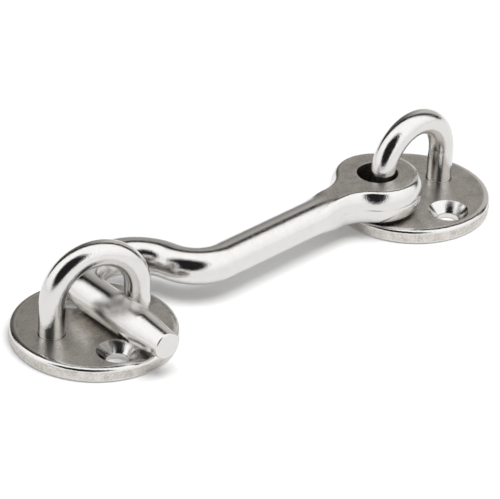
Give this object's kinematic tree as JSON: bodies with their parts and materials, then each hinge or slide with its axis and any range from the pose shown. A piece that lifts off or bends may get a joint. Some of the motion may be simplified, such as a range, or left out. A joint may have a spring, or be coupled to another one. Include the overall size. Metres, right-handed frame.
{
  "type": "cabin hook",
  "caption": "Polished stainless cabin hook: a cranked bar with a forged eye swings on a staple riveted into a round screw-down plate, and its tapered pin drops through a matching keeper staple.",
  "frame": {"origin": "middle of the pivot plate's underside, on the surface it is screwed to", "axes": "+X from the keeper plate to the pivot plate, the longest way; +Z out of the mounting surface; the closed hook's pin points to -Y"},
  "size_m": [0.1354, 0.0419, 0.0247],
  "materials": {
    "pivot_plate": "brushed top face, polished edge",
    "pivot_staple": "polished stainless steel",
    "keeper_plate": "brushed top face, polished edge",
    "keeper_staple": "polished stainless steel",
    "hook_arm": "polished stainless steel, flats of the eye brushed"
  },
  "bodies": {
    "mounted_halves": {"pivot_plate": "pivot_plate", "pivot_staple": "pivot_staple", "keeper_plate": "keeper_plate", "keeper_staple": "keeper_staple"},
    "hook": {"hook_arm": "hook_arm"}
  },
  "joints": [
    {"name": "hook_swing", "type": "hinge", "parent": "mounted_halves", "child": "hook", "pos_m": [-0.01037, -0.00078, 0.00825], "axis": [0, 0, -1], "range_deg": [0, 150]}
  ]
}
